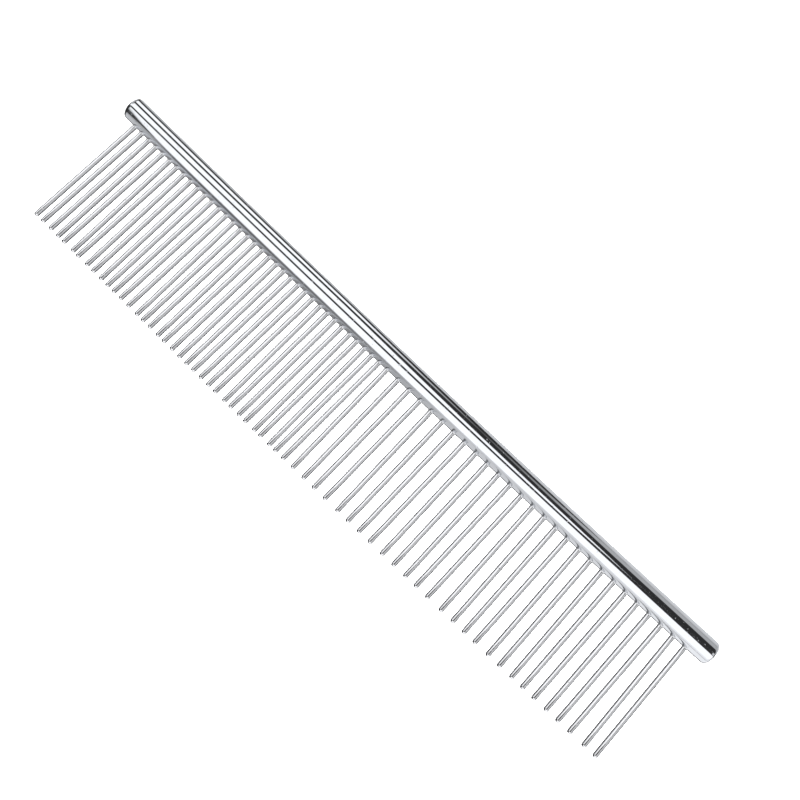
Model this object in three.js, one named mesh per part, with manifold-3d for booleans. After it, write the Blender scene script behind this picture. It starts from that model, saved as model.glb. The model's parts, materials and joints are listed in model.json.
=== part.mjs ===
// Steel grooming comb: a round chromed steel bar with one row of round wire teeth pressed into it.
// Half of the row is fine, half is coarse.
//
// The comb lies flat. +X runs along the bar from the fine end to the coarse end, the teeth point
// towards -Y, +Z is up, and z = 0 is the lowest line of the bar. The origin is under the middle of
// the comb. Lengths are millimetres.

import * as THREE from 'three';
import { mergeVertices } from 'three/addons/utils/BufferGeometryUtils.js';
import Module from 'manifold-3d';

const wasm = await Module();
wasm.setup();

// The bar.
const BAR_LENGTH = 190;
const BAR_DIAMETER = 6.1;
const BAR_EDGE_RADIUS = 1.1;
const BAR_BOW = 0.9; // the middle of the bar lies this much nearer the tips than its ends do

// The teeth.
const TOOTH_DIAMETER = 1.35;
const TOOTH_REACH = 32.35; // from the underside of the bar to the tip
const TIP_RADIUS = 0.62;
const FINE_COUNT = 36;
const FINE_PITCH = 2.457;
const COARSE_COUNT = 26;
const COARSE_PITCH = 3.603;
const FIRST_TOOTH_INSET = 4.42; // from the fine end of the bar to the first tooth

// How far the wires stray from square at most, in degrees: in the plane of the comb, and out of it.
// The seed fixes which way each one goes.
const FINE_LEAN = 0.85;
const COARSE_LEAN = 0.55;
const SIDE_LEAN = 0.25;
const STRAY_SEED = 54;

// The sockets that hold the teeth.
const SOCKET_DEPTH = 4.1; // from the underside of the bar
const SOCKET_CLEARANCE = 0.1;
const SOCKET_FLOOR_GAP = 0.3;

// Three teeth are one solid with the bar: the first, the one after the spacing changes, and the last.
const FIXED_TEETH = [0, FINE_COUNT, FINE_COUNT + COARSE_COUNT - 1];

// Facets.
const BAR_SIDES = 28;
const BAR_STEPS = 14;
const END_STEPS = 3;
const TOOTH_SIDES = 8;
const TIP_STEPS = 2;
const SOCKET_SIDES = 10;

const BAR_RADIUS = BAR_DIAMETER / 2;
const TOOTH_RADIUS = TOOTH_DIAMETER / 2;
const SOCKET_RADIUS = TOOTH_RADIUS + SOCKET_CLEARANCE;
const SOCKET_FLOOR = SOCKET_DEPTH - BAR_RADIUS; // above the bar's axis
const TOOTH_END = SOCKET_FLOOR - SOCKET_FLOOR_GAP;
const TOOTH_TIP = -BAR_RADIUS - TOOTH_REACH;
const MOUTH_MARGIN = 1; // how far a socket's cutter passes out of the bar

const barSteel = { color: 0xd9dadb, roughness: 0.06, metalness: 1 };
const toothSteel = { color: 0xd2d3d4, roughness: 0.12, metalness: 1 };

// The bar's axis is a shallow arc, highest in y at both ends. `turn` is the arc's angle at x.
const halfLength = BAR_LENGTH / 2;
const bowRadius = (halfLength ** 2 + BAR_BOW ** 2) / (2 * BAR_BOW);
const turnAt = (x) => x / bowRadius;

// Puts the middle of the comb's outline over the origin.
const AXIS_Y = (TOOTH_REACH - BAR_BOW) / 2;

// The place, on the bowed axis, of a station x along the straightened bar.
function stationPoint(x) {
  const turn = turnAt(x);
  return new THREE.Vector2(
    bowRadius * Math.sin(turn),
    AXIS_Y + bowRadius * (1 - Math.cos(turn)),
  );
}

function toSolid(geometry) {
  const bare = geometry.clone();
  bare.deleteAttribute('normal');
  bare.deleteAttribute('uv');
  const merged = mergeVertices(bare, 1e-4);
  return new wasm.Manifold(new wasm.Mesh({
    numProp: 3,
    vertProperties: merged.attributes.position.array,
    triVerts: Uint32Array.from(merged.index.array),
  }));
}

function toGeometry(solid) {
  const mesh = solid.getMesh();
  const geometry = new THREE.BufferGeometry();
  geometry.setAttribute('position', new THREE.BufferAttribute(mesh.vertProperties, 3));
  geometry.setIndex(new THREE.BufferAttribute(mesh.triVerts, 1));
  geometry.computeVertexNormals();
  return geometry;
}

// A quarter turn of a lathe profile about (cx, cy), anticlockwise from the angle `start`.
function quarterArc(cx, cy, radius, start, steps) {
  const points = [];
  for (let i = 0; i <= steps; i += 1) {
    const angle = start + (i / steps) * (Math.PI / 2);
    points.push(new THREE.Vector2(cx + radius * Math.cos(angle), cy + radius * Math.sin(angle)));
  }
  return points;
}

// The bar: a lathed rod with rounded-over ends, laid along X and then bowed.
function makeBarGeometry() {
  const cornerX = BAR_RADIUS - BAR_EDGE_RADIUS;
  const cornerY = halfLength - BAR_EDGE_RADIUS;
  const profile = [new THREE.Vector2(0, -halfLength)];
  profile.push(...quarterArc(cornerX, -cornerY, BAR_EDGE_RADIUS, -Math.PI / 2, END_STEPS));
  for (let i = 1; i < BAR_STEPS; i += 1) {
    profile.push(new THREE.Vector2(BAR_RADIUS, -cornerY + (2 * cornerY * i) / BAR_STEPS));
  }
  profile.push(...quarterArc(cornerX, cornerY, BAR_EDGE_RADIUS, 0, END_STEPS));
  profile.push(new THREE.Vector2(0, halfLength));
  const geometry = new THREE.LatheGeometry(profile, BAR_SIDES);
  geometry.rotateZ(-Math.PI / 2);
  bendAlongBow(geometry);
  geometry.translate(0, 0, BAR_RADIUS);
  return geometry;
}

// Moves a straight bar's points, with its axis on X, onto the bowed axis.
function bendAlongBow(geometry) {
  const points = geometry.attributes.position;
  for (let i = 0; i < points.count; i += 1) {
    const turn = turnAt(points.getX(i));
    const station = stationPoint(points.getX(i));
    const rise = points.getY(i);
    points.setX(i, station.x - rise * Math.sin(turn));
    points.setY(i, station.y + rise * Math.cos(turn));
  }
}

// A tooth: a straight wire along Y, cut square in its socket and rounded at its tip.
function makeToothGeometry() {
  const shoulder = TOOTH_RADIUS - TIP_RADIUS;
  const profile = [new THREE.Vector2(0, TOOTH_TIP)];
  profile.push(
    ...quarterArc(shoulder, TOOTH_TIP + TIP_RADIUS, TIP_RADIUS, -Math.PI / 2, TIP_STEPS),
  );
  profile.push(new THREE.Vector2(TOOTH_RADIUS, TOOTH_END));
  profile.push(new THREE.Vector2(0, TOOTH_END));
  return new THREE.LatheGeometry(profile, TOOTH_SIDES);
}

// The cutter for one socket, in the same frame as a tooth.
function makeSocketGeometry() {
  const mouth = -BAR_RADIUS - MOUTH_MARGIN;
  const geometry = new THREE.CylinderGeometry(
    SOCKET_RADIUS,
    SOCKET_RADIUS,
    SOCKET_FLOOR - mouth,
    SOCKET_SIDES,
  );
  geometry.translate(0, (SOCKET_FLOOR + mouth) / 2, 0);
  return geometry;
}

// The teeth in order from the fine end: each one's name, its station along the bar and its lean.
function layOutTeeth() {
  THREE.MathUtils.seededRandom(STRAY_SEED);
  const teeth = [];
  let x = -halfLength + FIRST_TOOTH_INSET;
  for (let i = 0; i < FINE_COUNT + COARSE_COUNT; i += 1) {
    const isFine = i < FINE_COUNT;
    const number = isFine ? i + 1 : i + 1 - FINE_COUNT;
    teeth.push({
      name: `${isFine ? 'fine' : 'coarse'}_tooth_${String(number).padStart(2, '0')}`,
      isFixed: FIXED_TEETH.includes(i),
      x,
      lean: stray(isFine ? FINE_LEAN : COARSE_LEAN),
      sideLean: stray(SIDE_LEAN),
    });
    x += i + 1 < FINE_COUNT ? FINE_PITCH : COARSE_PITCH;
  }
  return teeth;
}

// The next stray angle in radians, anywhere between minus and plus `most` degrees.
function stray(most) {
  return THREE.MathUtils.degToRad(most * (2 * THREE.MathUtils.seededRandom() - 1));
}

// Stands an object, made in the tooth's own frame, at its place on the bar.
function placeTooth(object, tooth) {
  const station = stationPoint(tooth.x);
  object.position.set(station.x, station.y, BAR_RADIUS);
  object.rotation.set(tooth.sideLean, 0, turnAt(tooth.x) + tooth.lean);
  object.updateMatrix();
  return object;
}

function placedSolid(geometry, tooth) {
  const holder = placeTooth(new THREE.Object3D(), tooth);
  return toSolid(geometry.clone().applyMatrix4(holder.matrix));
}

function makeMesh(name, geometry, steel) {
  const mesh = new THREE.Mesh(geometry, new THREE.MeshStandardMaterial(steel));
  mesh.name = name;
  return mesh;
}

const toothGeometry = makeToothGeometry();
const socketGeometry = makeSocketGeometry();
const teeth = layOutTeeth();

let bar = toSolid(makeBarGeometry());
for (const tooth of teeth) {
  bar = tooth.isFixed
    ? bar.add(placedSolid(toothGeometry, tooth))
    : bar.subtract(placedSolid(socketGeometry, tooth));
}

const comb = new THREE.Group();
comb.add(makeMesh('spine_bar', toGeometry(bar), barSteel));
for (const tooth of teeth) {
  if (!tooth.isFixed) {
    comb.add(placeTooth(makeMesh(tooth.name, toothGeometry, toothSteel), tooth));
  }
}

export default comb;
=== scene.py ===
"""Looks of the steel grooming comb: a round chromed bar with sixty-two round chromed wire teeth.

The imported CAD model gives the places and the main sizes. The bar and the teeth are rebuilt here as
smooth turned shapes, and stand in a pale light tent with dark gaps between its white panels.
"""

import json
import math
import random

import bpy
import numpy as np
from mathutils import Matrix, Vector


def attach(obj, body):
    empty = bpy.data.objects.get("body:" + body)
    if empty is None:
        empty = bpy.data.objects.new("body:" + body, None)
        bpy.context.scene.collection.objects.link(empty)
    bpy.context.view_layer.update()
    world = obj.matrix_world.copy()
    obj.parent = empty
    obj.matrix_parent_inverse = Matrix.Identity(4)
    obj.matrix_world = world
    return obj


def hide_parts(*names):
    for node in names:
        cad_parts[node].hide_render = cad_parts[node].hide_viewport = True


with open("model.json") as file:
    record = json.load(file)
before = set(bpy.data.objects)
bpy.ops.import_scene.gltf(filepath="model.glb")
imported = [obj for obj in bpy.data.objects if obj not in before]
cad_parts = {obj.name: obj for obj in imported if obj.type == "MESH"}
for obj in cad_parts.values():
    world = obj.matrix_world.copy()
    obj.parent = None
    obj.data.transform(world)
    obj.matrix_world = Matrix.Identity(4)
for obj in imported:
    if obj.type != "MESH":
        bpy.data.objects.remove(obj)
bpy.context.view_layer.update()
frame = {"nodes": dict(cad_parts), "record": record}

MM = 0.001
FINE_COUNT = 36
COARSE_COUNT = 26

# The camera, in millimetres of the comb's frame and in degrees.
CAMERA_AIM = Vector((-3.26, 13.25, 3.07))
CAMERA_PLACE = Vector((20.3, -29.6, 251.1))
CAMERA_ROLL = 43.45
CAMERA_LENS = 47.97
CAMERA_SHIFT = (0.0098, -0.0351)
CAMERA_SENSOR = 36
CAMERA_CLIP = (0.01, 20)  # metres

# The disc lamp at the camera: its width in millimetres and its power in watts.
LAMP_SIZE = 60
LAMP_POWER = 3

# The floor, with its half-width in metres and its darkest and palest tone.
FLOOR_HALF = 3.0
FLOOR_TONES = (0.86, 0.9)
FLOOR_CLOUD_SCALE = 0.02
FLOOR_GLOW = 0.3  # keeps the floor white where the lamp's light thins out

# Finishing of the smooth shapes, in millimetres.
BAR_EDGE_RADIUS = 1.1
BAR_SIDES = 144
BAR_EDGE_STEPS = 12
BAR_STATIONS = 96
SHADING_HOLD = 0.04  # from a rounded end to the ring that keeps the bar's sheen straight
TOOTH_SIDES = 32
TOOTH_STATIONS = 8
TIP_STEPS = 8
TIP_RADIUS = 0.62
ROOT_FILLET = 0.16
ROOT_FILLET_STEPS = 5
ROOT_DEPTH = 0.5
TIP_RADIUS_SHARES = (0.92, 1.0)  # the range of the tips' radii, as shares of TIP_RADIUS
TIP_SEED = 11

# How near the CAD points that describe one feature have to lie to each other, in millimetres.
END_TOLERANCE = 0.1
TOOTH_TOLERANCE = 1.5
MIDDLE_SHARE = 0.05  # the part of the bar's half-length that counts as its middle
TOOTH_CLEAR = 5  # this many bar radii below the bar's axis there is only tooth

# The chrome's polishing lines, clouds and pits: the scale of their noise per millimetre, and the
# noise values between which each effect grows from nothing to full.
EVENLY = (1, 1, 1)
LINE_SCALE = 1.0
LINE_ROUGH_RANGE = (0.3, 0.75)
LINE_ROUGHNESS = (0.7, 1.5)  # shares of the chrome's own roughness
LINE_DEPTH = 0.002 * MM
CLOUD_SCALE = 0.35
CLOUD_TINT_RANGE = (0.35, 0.65)
CLOUD_TINT = 0.96  # a share of the chrome's own tint
CLOUD_ROUGH_RANGE = (0.4, 0.7)
CLOUD_ROUGHNESS = 0.5  # a share of the chrome's own roughness
PIT_SCALE = 2.2
PIT_ROUGH_RANGE = (0.78, 0.82)
PIT_ROUGHNESS = 0.25
PIT_DEPTH_RANGE = (0.78, 0.84)
PIT_DEPTH = 0.02 * MM
PIT_STRENGTH = 0.6


def mesh_object(name, points, faces):
    """A smooth-shaded object from points in millimetres."""
    mesh = bpy.data.meshes.new(name)
    mesh.from_pydata([Vector(p) * MM for p in points], [], faces)
    mesh.polygons.foreach_set("use_smooth", [True] * len(mesh.polygons))
    mesh.validate()
    piece = bpy.data.objects.new(name, mesh)
    bpy.context.scene.collection.objects.link(piece)
    return piece


def skin_rings(rings, first_pole, last_pole):
    """Points and faces of a closed shape: rings of equal count between two poles."""
    count = len(rings[0])
    points = [first_pole] + [p for ring in rings for p in ring] + [last_pole]
    faces = []
    for i in range(count):
        j = (i + 1) % count
        faces.append((0, 1 + j, 1 + i))
    for r in range(len(rings) - 1):
        low = 1 + r * count
        high = low + count
        for i in range(count):
            j = (i + 1) % count
            faces.append((low + i, low + j, high + j, high + i))
    last = len(points) - 1
    base = last - count
    for i in range(count):
        j = (i + 1) % count
        faces.append((last, base + i, base + j))
    return points, faces


def cad_points(name):
    """The corners of a CAD node, one in each row, in millimetres."""
    return np.array([v.co for v in frame["nodes"][name].data.vertices]) / MM


class BowedAxis:
    """The bar's axis: a shallow arc through both end faces and the middle of the bar."""

    def __init__(self):
        mounts = {m["name"]: Vector(m["pos_m"]) / MM for m in frame["record"]["mounts"]}
        self.end = mounts["coarse_end_face"]
        bar = cad_points("spine_bar")
        self.radius = float(bar[:, 2].max()) / 2
        middle = bar[np.abs(bar[:, 0]) < MIDDLE_SHARE * self.end.x]
        self.middle_y = float(middle[:, 1].max()) - self.radius
        bow = self.end.y - self.middle_y
        self.bow_radius = (self.end.x ** 2 + bow ** 2) / (2 * bow)
        self.half_turn = math.asin(self.end.x / self.bow_radius)
        self.half_length = self.half_turn * self.bow_radius

    def turn(self, along):
        return along / self.bow_radius

    def point(self, along):
        turn = self.turn(along)
        y = self.middle_y + self.bow_radius * (1 - math.cos(turn))
        return Vector((self.bow_radius * math.sin(turn), y, self.radius))

    def across(self, along):
        """The unit vector that points away from the tips, square to the axis."""
        turn = self.turn(along)
        return Vector((-math.sin(turn), math.cos(turn), 0))


def make_bar(axis):
    """The bar: round, bowed, with rounded-over ends, closed by flat discs."""
    edge = BAR_EDGE_RADIUS
    straight = axis.half_length - edge
    profile = []
    for i in range(BAR_EDGE_STEPS + 1):
        angle = i / BAR_EDGE_STEPS * math.pi / 2
        reach = axis.radius - edge + edge * math.sin(angle)
        profile.append((-straight - edge * math.cos(angle), reach))
    held = straight - SHADING_HOLD
    for i in range(BAR_STATIONS + 1):
        profile.append((-held + 2 * held * i / BAR_STATIONS, axis.radius))
    profile += [(-along, reach) for along, reach in reversed(profile[: BAR_EDGE_STEPS + 1])]
    rings = []
    for along, reach in profile:
        centre = axis.point(along)
        across = axis.across(along)
        ring = []
        for i in range(BAR_SIDES):
            angle = 2 * math.pi * i / BAR_SIDES
            upward = Vector((0, 0, reach * math.sin(angle)))
            ring.append(centre + across * reach * math.cos(angle) + upward)
        rings.append(ring)
    ends = axis.point(-axis.half_length), axis.point(axis.half_length)
    return mesh_object("bar_polished", *skin_rings(rings, *ends))


def tooth_names():
    fine = [f"fine_tooth_{i + 1:02d}" for i in range(FINE_COUNT)]
    coarse = [f"coarse_tooth_{i + 1:02d}" for i in range(COARSE_COUNT)]
    return fine + coarse


def cad_tooth_line(name):
    """The middle of a CAD tooth's two ends, in millimetres: (root, tip)."""
    points = cad_points(name)
    y = points[:, 1]
    root = points[y > y.max() - END_TOLERANCE].mean(0)
    tip = points[y < y.min() + END_TOLERANCE].mean(0)
    return Vector(root), Vector(tip)


def cad_wire_radius(name):
    """The radius of a CAD tooth, from the rim of its buried end."""
    points = cad_points(name)
    rim = points[points[:, 1] > points[:, 1].max() - END_TOLERANCE]
    return float(np.linalg.norm(rim - rim.mean(0), axis=1).max())


def station_of(axis, root, tip):
    """Where a tooth's line, carried on into the bar, crosses the bar's axis."""
    share = (axis.point(root.x).y - root.y) / (tip.y - root.y)
    return root.lerp(tip, share)


def lay_out_teeth(axis):
    """Every tooth's (name, crossing point on the bar's axis, tip), in order along the bar.

    Three teeth are one solid with the bar in the CAD. Their crossing points follow from the even
    spacing of their neighbours, and their tips are the bar node's own points furthest out there.
    """
    names = tooth_names()
    lines = {}
    for name in names:
        if name in frame["nodes"]:
            root, tip = cad_tooth_line(name)
            lines[name] = (station_of(axis, root, tip), tip)
    bar = cad_points("spine_bar")
    for i, name in enumerate(names):
        if name in lines:
            continue
        step = -1 if i == len(names) - 1 else 1
        near, far = lines[names[i + step]][0], lines[names[i + 2 * step]][0]
        x = 2 * near.x - far.x
        level = axis.point(x)
        crossing = Vector((x, level.y, level.z))
        beside = np.abs(bar[:, 0] - x) < TOOTH_TOLERANCE
        below = bar[beside & (bar[:, 1] < crossing.y - TOOTH_CLEAR * axis.radius)]
        tip = below[below[:, 1] < below[:, 1].min() + END_TOLERANCE].mean(0)
        lines[name] = (crossing, Vector(tip))
    return [(name, *lines[name]) for name in names]


def make_tooth(axis, wire, name, crossing, tip, chance):
    """One wire: a small fillet where it meets the bar, a straight shank and a rounded tip.

    Its profile has rows of (distance down the wire, radius, whether the ring follows the bar).
    """
    length = (tip - crossing).length
    down = (tip - crossing).normalized()
    side = Vector((0, 0, 1)).cross(down).normalized()
    front = down.cross(side)
    tip_radius = TIP_RADIUS * chance.uniform(*TIP_RADIUS_SHARES)
    profile = []
    root = axis.radius
    for i in range(ROOT_FILLET_STEPS + 1):
        angle = i / ROOT_FILLET_STEPS * math.pi / 2
        flare = ROOT_FILLET * (1 - math.sin(angle))
        drop = ROOT_FILLET * (1 - math.cos(angle))
        profile.append((root + drop, wire + flare, True))
    shank_end = length - tip_radius
    start = root + ROOT_FILLET
    for i in range(1, TOOTH_STATIONS):
        profile.append((start + (shank_end - start) * i / TOOTH_STATIONS, wire, False))
    for i in range(TIP_STEPS):
        angle = i / TIP_STEPS * math.pi / 2
        reach = wire - tip_radius + tip_radius * math.cos(angle)
        profile.append((shank_end + tip_radius * math.sin(angle), reach, False))
    buried = crossing + down * (root - ROOT_DEPTH)
    profile.insert(0, (root - ROOT_DEPTH, wire, False))
    rings = []
    for along, reach, follows_bar in profile:
        ring = []
        for i in range(TOOTH_SIDES):
            angle = 2 * math.pi * i / TOOTH_SIDES
            out = side * math.cos(angle) + front * math.sin(angle)
            lift = 0
            if follows_bar:
                height = reach * math.sin(angle)
                lift = axis.radius - math.sqrt(axis.radius ** 2 - height ** 2)
            ring.append(crossing + down * (along - lift) + out * reach)
        rings.append(ring)
    points, faces = skin_rings(rings, buried, crossing + down * length)
    return mesh_object(f"{name}_wire", points, faces)


def add_node(tree, kind, **values):
    node = tree.nodes.new(kind)
    for key, value in values.items():
        setattr(node, key, value)
    return node


def noise(tree, vector, scale, stretch, detail=2.0, roughness=0.5):
    """A noise texture on object coordinates in millimetres, stretched along its axes."""
    mapping = add_node(tree, "ShaderNodeMapping")
    mapping.inputs["Scale"].default_value = [s / MM for s in stretch]
    tree.links.new(vector, mapping.inputs["Vector"])
    texture = add_node(tree, "ShaderNodeTexNoise")
    texture.inputs["Scale"].default_value = scale
    texture.inputs["Detail"].default_value = detail
    texture.inputs["Roughness"].default_value = roughness
    tree.links.new(mapping.outputs["Vector"], texture.inputs["Vector"])
    return texture.outputs["Fac"]


def spread(tree, value, low, high, to_low, to_high):
    """Maps a value's range onto another, clamped."""
    node = add_node(tree, "ShaderNodeMapRange")
    node.inputs["From Min"].default_value = low
    node.inputs["From Max"].default_value = high
    node.inputs["To Min"].default_value = to_low
    node.inputs["To Max"].default_value = to_high
    tree.links.new(value, node.inputs["Value"])
    return node.outputs["Result"]


def feed(tree, socket, value):
    """Gives a socket a number, or links it to another node's output."""
    if isinstance(value, (int, float)):
        socket.default_value = value
    else:
        tree.links.new(value, socket)


def maths(tree, operation, a, b):
    node = add_node(tree, "ShaderNodeMath", operation=operation)
    feed(tree, node.inputs[0], a)
    feed(tree, node.inputs[1], b)
    return node.outputs["Value"]


def chrome(name, tint, roughness, along, grain):
    """Bright chrome with faint polishing lines along one axis, duller clouds and a few pits.

    `along` is the stretch of the polishing lines, `grain` how strongly they show.
    """
    material = bpy.data.materials.new(name)
    material.use_nodes = True
    tree = material.node_tree
    shader = tree.nodes["Principled BSDF"]
    shader.inputs["Metallic"].default_value = 1.0
    place = add_node(tree, "ShaderNodeTexCoord").outputs["Object"]

    lines = noise(tree, place, LINE_SCALE, along, detail=3.0, roughness=0.6)
    clouds = noise(tree, place, CLOUD_SCALE, EVENLY)
    pits = noise(tree, place, PIT_SCALE, EVENLY, detail=0.0)

    tone = add_node(tree, "ShaderNodeMix", data_type="RGBA")
    tone.inputs["A"].default_value = (*[c * CLOUD_TINT for c in tint], 1)
    tone.inputs["B"].default_value = (*tint, 1)
    tree.links.new(spread(tree, clouds, *CLOUD_TINT_RANGE, 0, 1), tone.inputs["Factor"])
    tree.links.new(tone.outputs["Result"], shader.inputs["Base Color"])

    least, most = [roughness * share for share in LINE_ROUGHNESS]
    rough_lines = spread(tree, lines, *LINE_ROUGH_RANGE, least, most)
    rough_clouds = spread(tree, clouds, *CLOUD_ROUGH_RANGE, 0, roughness * CLOUD_ROUGHNESS)
    rough_pits = spread(tree, pits, *PIT_ROUGH_RANGE, 0, PIT_ROUGHNESS)
    rough = maths(tree, "ADD", rough_lines, rough_clouds)
    tree.links.new(maths(tree, "ADD", rough, rough_pits), shader.inputs["Roughness"])

    line_bump = add_node(tree, "ShaderNodeBump")
    line_bump.inputs["Strength"].default_value = grain
    line_bump.inputs["Distance"].default_value = LINE_DEPTH
    tree.links.new(lines, line_bump.inputs["Height"])
    pit_bump = add_node(tree, "ShaderNodeBump", invert=True)
    pit_bump.inputs["Strength"].default_value = PIT_STRENGTH
    pit_bump.inputs["Distance"].default_value = PIT_DEPTH
    tree.links.new(spread(tree, pits, *PIT_DEPTH_RANGE, 0, 1), pit_bump.inputs["Height"])
    tree.links.new(line_bump.outputs["Normal"], pit_bump.inputs["Normal"])
    tree.links.new(pit_bump.outputs["Normal"], shader.inputs["Normal"])
    return material


def make_floor():
    """A plain pale floor with faint clouds."""
    corners = [(-1, -1), (1, -1), (1, 1), (-1, 1)]
    mesh = bpy.data.meshes.new("floor")
    mesh.from_pydata([(x * FLOOR_HALF, y * FLOOR_HALF, 0) for x, y in corners], [], [(0, 1, 2, 3)])
    floor = bpy.data.objects.new("floor", mesh)
    bpy.context.scene.collection.objects.link(floor)
    material = bpy.data.materials.new("pale_floor")
    material.use_nodes = True
    tree = material.node_tree
    shader = tree.nodes["Principled BSDF"]
    shader.inputs["Roughness"].default_value = 0.9
    shader.inputs["Specular IOR Level"].default_value = 0.1
    shader.inputs["Emission Color"].default_value = (1, 1, 1, 1)
    shader.inputs["Emission Strength"].default_value = FLOOR_GLOW
    place = add_node(tree, "ShaderNodeTexCoord").outputs["Object"]
    tone = add_node(tree, "ShaderNodeMix", data_type="RGBA")
    for socket, grey in zip("AB", FLOOR_TONES):
        tone.inputs[socket].default_value = (grey, grey, grey, 1)
    tree.links.new(noise(tree, place, FLOOR_CLOUD_SCALE, EVENLY), tone.inputs["Factor"])
    tree.links.new(tone.outputs["Result"], shader.inputs["Base Color"])
    mesh.materials.append(material)
    floor.visible_glossy = False  # the chrome mirrors the tent's own grey lower half instead


def make_lamp():
    """A soft disc lamp at the camera that whitens the floor between the teeth."""
    data = bpy.data.lights.new("floor_lamp", "AREA")
    data.shape = "DISK"
    data.size = LAMP_SIZE * MM
    data.energy = LAMP_POWER
    lamp = bpy.data.objects.new("floor_lamp", data)
    bpy.context.scene.collection.objects.link(lamp)
    lamp.visible_glossy = False
    lamp.visible_camera = False
    lamp.location = CAMERA_PLACE * MM
    lamp.rotation_mode = "QUATERNION"
    lamp.rotation_quaternion = (-lamp.location).to_track_quat("-Z", "Y")


# The light tent. A direction is told by `roll`, its angle round the bar's axis in degrees (0
# straight up, 90 level on the side away from the tips, -90 level on the side of the tips), and by
# `lean`, how far it leans towards the coarse end, from -1 to 1.
WHITE = 1.8
GREY = 0.67
DARK = 0.045
UNDERNEATH = 0.3
SKY = 1.0  # what the camera sees beyond the floor
EDGE_SOFTNESS = 3  # of roll
LEAN_SOFTNESS = 0.02
TENT_MAP = 1024  # the width of the map that Cycles samples the tent by

# Where the panels start that are there at every lean.
FRONT_PANEL = -144
TOP_PANEL = -70
UNDER_PANEL = 150

# The panels at six leans: (lean, brightness of the front panel, what follows the top panel). What
# follows is a list of (roll where a panel starts, its brightness).
PANELS = [
    (-0.43, 0.95, [(94, 0.85)]),
    (-0.39, 0.36, [(94, 0.85)]),
    (-0.15, 0.4, [(94, 0.85)]),
    (0.0, 1.0, [(44, 0.12), (86, 0.95)]),
    (0.13, 1.1, [(44, GREY), (90, 1.0)]),
    (0.3, 1.5, [(44, GREY), (90, 1.0)]),
]

# The dark gaps between the panels: (lean, roll of the gap's lower edge, roll of its upper edge).
OVERHEAD_GAP = [
    (-0.41, -18, -4), (-0.3, -16, -0.5), (-0.16, -14, 2), (-0.08, -15, 2), (0.12, -14, 2),
    (0.2, -13, 12),
]
UPPER_GAP = [
    (-0.41, 33, 51), (-0.3, 34, 53), (-0.16, 40, 60), (-0.08, 31, 59), (0, 22, 56),
    (0.08, 19, 47), (0.155, 15, 47), (0.2, 8, 47),
]
REAR_GAP = [
    (-0.41, 82, 105), (-0.3, 80, 104), (-0.16, 83, 107), (-0.08, 73, 100), (0, 66, 93),
    (0.08, 66, 87), (0.12, 72, 84), (0.15, 78, 78),
]
FINE_END_GAP = [
    (-0.5, -125, -10), (-0.437, -87, -20), (-0.43, -80, -37), (-0.426, -77, -45),
    (-0.418, -75, -54), (-0.411, -73, -60), (-0.404, -71, -65), (-0.39, -69, -69),
]
HORIZON_GAP = [
    (-0.4, -86, -86), (-0.35, -93, -84), (-0.2, -90, -85), (-0.05, -87, -87), (0.2, -86, -86),
    (0.26, -88, -85),
]
LEAN_SHOWN = 0.5  # the gaps run on unchanged beyond this lean, both ways

# Past the fine end of the bar the tent is first dark, then grey: the leans where each starts.
FINE_END_DARK = -0.437
FINE_END_GREY = -0.62
GREY_SOFTNESS = 0.05
END_GREY = 0.85

# The slice of the tent that the wires mirror: between which y its directions lie, and its
# brightness by the angle round a wire in degrees, 0 straight up and 90 towards the coarse end.
# Above the horizon the bar mirrors the leans between BAR_LEANS, so the slice leaves them alone.
SLICE_LOW = -0.1
SLICE_HIGH = 0.21
SLICE_SOFTNESS = 0.02
BAR_LEANS = (-0.437, 0.3)
FLANKS = [
    (-180, 0.5), (-168, 0.5), (-160, 0.18), (-68, 0.18), (-58, WHITE), (-26, WHITE), (8, 1.0),
    (60, 0.9), (80, 0.8), (88, 0.14), (150, 0.14), (158, 0.5), (180, 0.5),
]


def linear_ramp(tree, fac, stops):
    """A value that runs straight between (place, value) stops, all of them from 0 to 1."""
    node = add_node(tree, "ShaderNodeValToRGB")
    node.color_ramp.interpolation = "LINEAR"
    elements = node.color_ramp.elements
    elements.remove(elements[-1])
    for i, (place, value) in enumerate(stops):
        element = elements[0] if i == 0 else elements.new(place)
        element.position = place
        element.color = (value, value, value, 1)
    tree.links.new(fac, node.inputs["Fac"])
    return node.outputs["Color"]


def ring_brightness(tree, angle, stops):
    """Brightness by an angle that runs right round, straight between (angle, brightness) stops."""
    places = [((place + 180) / 360, value / WHITE) for place, value in stops]
    turned = spread(tree, angle, -180, 180, 0, 1)
    return maths(tree, "MULTIPLY", linear_ramp(tree, turned, places), WHITE)


def panel_brightness(tree, roll, front, rear):
    """Brightness by roll for one lean, from straight down and right round the bar."""
    panels = [(-180, UNDERNEATH), (FRONT_PANEL, front), (TOP_PANEL, WHITE), *rear]
    panels.append((UNDER_PANEL, UNDERNEATH))
    stops = [panels[0]]
    for (_, before), (start, brightness) in zip(panels, panels[1:]):
        stops.append((start - EDGE_SOFTNESS / 2, before))
        stops.append((start + EDGE_SOFTNESS / 2, brightness))
    return ring_brightness(tree, roll, stops)


def gap_mask(tree, roll, lean, gap):
    """1 inside a dark gap, 0 outside it, with soft edges."""
    place = spread(tree, lean, -LEAN_SHOWN, LEAN_SHOWN, 0, 1)
    edges = []
    for column in (1, 2):
        stops = [((row[0] / LEAN_SHOWN + 1) / 2, (row[column] + 180) / 360) for row in gap]
        edges.append(spread(tree, linear_ramp(tree, place, stops), 0, 1, -180, 180))
    above = maths(tree, "DIVIDE", maths(tree, "SUBTRACT", roll, edges[0]), EDGE_SOFTNESS)
    below = maths(tree, "DIVIDE", maths(tree, "SUBTRACT", edges[1], roll), EDGE_SOFTNESS)
    inside = maths(tree, "MINIMUM", above, below)
    return spread(tree, inside, -0.5, 0.5, 0, 1)


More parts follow.
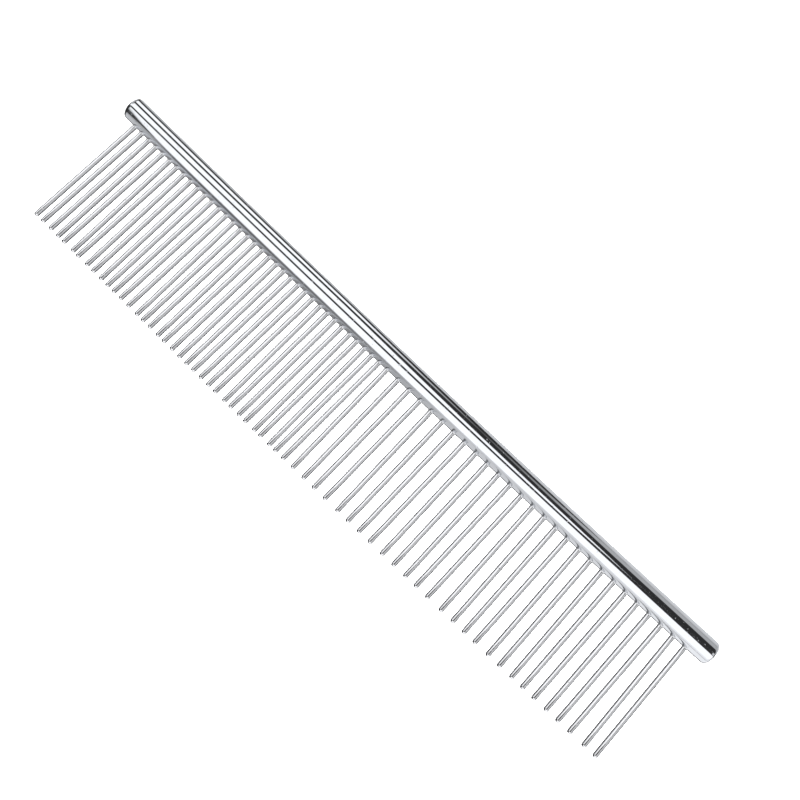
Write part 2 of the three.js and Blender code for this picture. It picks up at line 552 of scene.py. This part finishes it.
def blend_values(tree, a, b, factor):
    """Goes from a to b as the factor goes from 0 to 1."""
    node = add_node(tree, "ShaderNodeMix", data_type="FLOAT")
    feed(tree, node.inputs["A"], a)
    feed(tree, node.inputs["B"], b)
    feed(tree, node.inputs["Factor"], factor)
    return node.outputs["Result"]


def past(tree, value, edge, softness):
    """0 up to an edge, then 1 beyond it. A negative softness puts the 1 below the edge."""
    return spread(tree, value, edge, edge + softness, 0, 1)


def bearing(tree, sideways, up):
    """The angle of a direction from straight up, in degrees."""
    return maths(tree, "MULTIPLY", maths(tree, "ARCTAN2", sideways, up), 180 / math.pi)


def make_tent():
    """The world: what the chrome mirrors, and plain white where the camera sees past the floor."""
    world = bpy.data.worlds.new("light_tent")
    bpy.context.scene.world = world
    world.use_nodes = True
    tree = world.node_tree
    background = tree.nodes["Background"]
    direction = add_node(tree, "ShaderNodeTexCoord").outputs["Generated"]
    split = add_node(tree, "ShaderNodeSeparateXYZ")
    tree.links.new(direction, split.inputs["Vector"])
    lean, y, z = split.outputs
    roll = bearing(tree, y, z)

    _, front, rear = PANELS[0]
    tent = panel_brightness(tree, roll, front, rear)
    for (low, _, _), (high, front, rear) in zip(PANELS, PANELS[1:]):
        share = spread(tree, lean, low, high, 0, 1)
        tent = blend_values(tree, tent, panel_brightness(tree, roll, front, rear), share)
    for gap in (OVERHEAD_GAP, UPPER_GAP, REAR_GAP, HORIZON_GAP):
        tent = blend_values(tree, tent, DARK, gap_mask(tree, roll, lean, gap))
    tent = blend_values(tree, tent, DARK, past(tree, lean, FINE_END_DARK, -LEAN_SOFTNESS))
    tent = blend_values(tree, tent, END_GREY, past(tree, lean, FINE_END_GREY, -GREY_SOFTNESS))
    tent = blend_values(tree, tent, DARK, gap_mask(tree, roll, lean, FINE_END_GAP))

    above_low = past(tree, y, SLICE_LOW, SLICE_SOFTNESS)
    below_high = past(tree, y, SLICE_HIGH, -SLICE_SOFTNESS)
    inside = maths(tree, "MINIMUM", above_low, below_high)
    past_fine = past(tree, lean, BAR_LEANS[0], -LEAN_SOFTNESS)
    past_coarse = past(tree, lean, BAR_LEANS[1], LEAN_SOFTNESS)
    clear_of_bar = maths(tree, "MAXIMUM", past_fine, past_coarse)
    clear_of_bar = maths(tree, "MAXIMUM", clear_of_bar, past(tree, z, 0, -LEAN_SOFTNESS))
    flanks = ring_brightness(tree, bearing(tree, lean, z), FLANKS)
    tent = blend_values(tree, tent, flanks, maths(tree, "MINIMUM", inside, clear_of_bar))

    seen = add_node(tree, "ShaderNodeLightPath").outputs["Is Camera Ray"]
    tree.links.new(blend_values(tree, tent, SKY, seen), background.inputs["Strength"])
    background.inputs["Color"].default_value = (1, 1, 1, 1)
    world.cycles.sampling_method = "MANUAL"
    world.cycles.sample_map_resolution = TENT_MAP


def make_camera():
    """The camera, level with the bar and then rolled."""
    data = bpy.data.cameras.new("camera")
    camera = bpy.data.objects.new("camera", data)
    bpy.context.scene.collection.objects.link(camera)
    back = (CAMERA_PLACE - CAMERA_AIM).normalized()
    along_bar = (Vector((1, 0, 0)) - back * back.x).normalized()
    above_bar = back.cross(along_bar)
    level = Matrix((along_bar, above_bar, back)).transposed()
    turn = Matrix.Rotation(math.radians(CAMERA_ROLL), 3, "Z")
    camera.matrix_world = Matrix.Translation(CAMERA_PLACE * MM) @ (level @ turn).to_4x4()
    data.lens = CAMERA_LENS
    data.sensor_width = CAMERA_SENSOR
    data.shift_x, data.shift_y = CAMERA_SHIFT
    data.clip_start, data.clip_end = CAMERA_CLIP
    bpy.context.scene.camera = camera


def colour_management():
    settings = bpy.context.scene.view_settings
    settings.view_transform = "Standard"
    settings.look = "None"
    settings.exposure = 0
    settings.gamma = 1


make_camera()
colour_management()
make_floor()
make_lamp()
make_tent()

bar_chrome = chrome(
    "bar_chrome", tint=(0.56, 0.575, 0.605), roughness=0.05, along=(0.02, 6, 6), grain=0.25,
)
wire_chrome = chrome(
    "wire_chrome", tint=(0.58, 0.587, 0.605), roughness=0.1, along=(9, 0.08, 9), grain=0.35,
)

bar_axis = BowedAxis()
wire_radius = cad_wire_radius("coarse_tooth_10")  # every wire is the same

bar_piece = make_bar(bar_axis)
bar_piece.data.materials.append(bar_chrome)
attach(bar_piece, "root")
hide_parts("spine_bar")

chance = random.Random(TIP_SEED)
for tooth_name, crossing_point, tip_point in lay_out_teeth(bar_axis):
    wire_piece = make_tooth(bar_axis, wire_radius, tooth_name, crossing_point, tip_point, chance)
    wire_piece.data.materials.append(wire_chrome)
    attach(wire_piece, "root")
    if tooth_name in frame["nodes"]:
        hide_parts(tooth_name)
